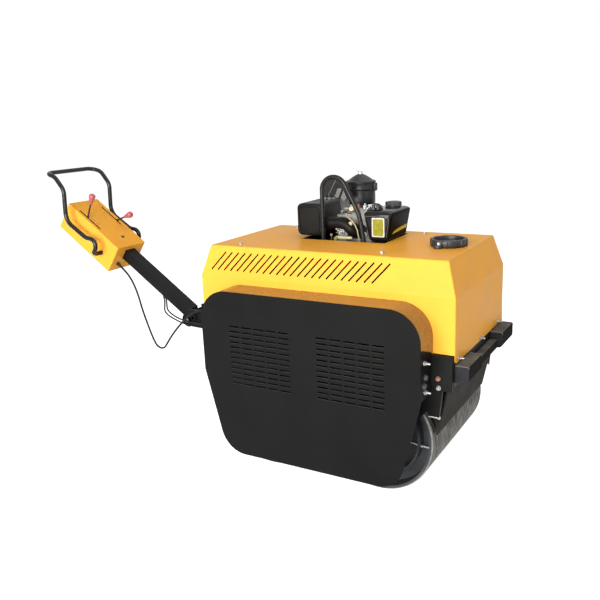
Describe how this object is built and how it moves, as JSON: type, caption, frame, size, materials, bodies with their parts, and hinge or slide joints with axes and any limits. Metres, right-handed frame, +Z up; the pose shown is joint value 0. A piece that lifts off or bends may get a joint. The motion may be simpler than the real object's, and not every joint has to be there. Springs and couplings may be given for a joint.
{
  "type": "walk-behind road roller",
  "caption": "Walk-behind twin-drum vibratory roller with a sheet-metal hood, slotted side covers, open-mounted engine and a drawbar handle with control box.",
  "frame": {"origin": "on the ground below the middle of the whole machine, drawbar included", "axes": "+X forward, the way the machine faces away from its handle; +Y to its left; +Z up"},
  "size_m": [2.1438, 0.838, 1.1722],
  "materials": {
    "yellow_paint": "satin yellow enamel on pressed sheet",
    "black_paint": "satin black enamel",
    "drum_steel": "bare rolled steel, turned smooth",
    "machined_steel": "zinc-plated machined steel",
    "engine_alloy": "cast aluminium, as cast",
    "black_plastic": "moulded black plastic",
    "bumper_rubber": "moulded black rubber",
    "red_plastic": "glossy red plastic",
    "cable_rubber": "black extruded sheath, slightly dusty"
  },
  "bodies": {
    "chassis": {"hood_top": "yellow_paint", "hood_right": "yellow_paint", "hood_left": "yellow_paint", "hood_front": "yellow_paint", "hood_rear": "yellow_paint", "cover_band_right": "yellow_paint", "cover_band_left": "yellow_paint", "frame_plate_right": "black_paint", "frame_plate_left": "black_paint", "front_beam": "black_paint", "rear_beam": "black_paint", "engine_deck": "black_paint", "scraper_front": "black_paint", "scraper_rear": "black_paint", "side_cover_right": "black_paint", "side_cover_left": "black_paint", "cover_flanges": "black_paint", "muffler": "black_paint", "exhaust_elbow": "black_paint", "fuel_tank": "black_paint", "lifting_hoop": "black_paint", "tow_lugs": "black_paint", "axle_front": "machined_steel", "axle_rear": "machined_steel", "pivot_pin": "machined_steel", "stop_bolt": "machined_steel", "engine_block": "engine_alloy", "cylinder_head": "engine_alloy", "fuel_cap": "black_plastic", "air_filter": "black_plastic", "filler_cap": "black_plastic", "rear_glands": "black_plastic", "bumper_blocks": "bumper_rubber", "control_hose": "cable_rubber", "control_cable": "cable_rubber", "second_cable": "cable_rubber"},
    "front_drum": {"drum_front": "drum_steel"},
    "rear_drum": {"drum_rear": "drum_steel"},
    "handle": {"drawbar": "black_paint", "control_box": "yellow_paint", "handlebar": "black_paint", "lever_shaft": "machined_steel", "levers": "machined_steel", "lever_knobs": "red_plastic", "handle_glands": "black_plastic"}
  },
  "joints": [
    {"name": "front_drum_roll", "type": "hinge", "parent": "chassis", "child": "front_drum", "pos_m": [0.72888, 0, 0.2185], "axis": [0, 1, 0], "continuous": true},
    {"name": "rear_drum_roll", "type": "hinge", "parent": "chassis", "child": "rear_drum", "pos_m": [0.25488, 0, 0.2185], "axis": [0, 1, 0], "continuous": true},
    {"name": "handle_fold", "type": "hinge", "parent": "chassis", "child": "handle", "pos_m": [-0.33249, 0, 0.48494], "axis": [0, 1, 0], "range_deg": [0, 50]}
  ]
}
